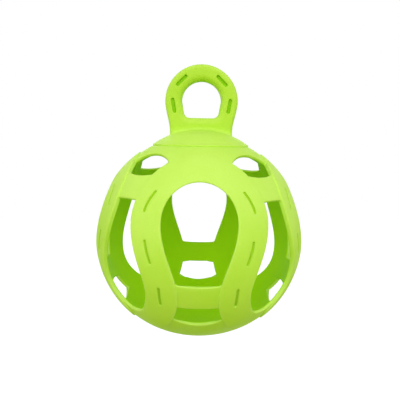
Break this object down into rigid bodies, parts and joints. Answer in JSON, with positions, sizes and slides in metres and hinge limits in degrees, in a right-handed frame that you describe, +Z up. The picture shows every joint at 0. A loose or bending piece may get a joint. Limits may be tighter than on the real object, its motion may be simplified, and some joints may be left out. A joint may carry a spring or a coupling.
{
  "type": "hay ball",
  "caption": "Hollow moulded rubber ball made of raised horseshoes around open windows, with a cap and a hanging loop, for feeding hay to a horse.",
  "frame": {"origin": "centre of the hanging eye, half-way through the loop's thickness", "axes": "+Z up, from the ball through the loop; +Y through the eye from the front to the back; the front horseshoe faces -Y and +X is to its right"},
  "size_m": [0.2418, 0.2418, 0.3247],
  "materials": {
    "lime_rubber": "satin moulded rubber, bright lime green"
  },
  "bodies": {
    "root": {"horseshoe_front": "lime_rubber", "horseshoe_right": "lime_rubber", "horseshoe_back": "lime_rubber", "horseshoe_left": "lime_rubber", "heel_crossbar_front": "lime_rubber", "heel_crossbar_right": "lime_rubber", "heel_crossbar_back": "lime_rubber", "heel_crossbar_left": "lime_rubber", "bridge_bar_front_right": "lime_rubber", "bridge_bar_back_right": "lime_rubber", "bridge_bar_back_left": "lime_rubber", "bridge_bar_front_left": "lime_rubber", "bottom_bowl": "lime_rubber", "crown_ring": "lime_rubber", "top_cap": "lime_rubber", "hanging_loop": "lime_rubber"}
  },
  "joints": []
}
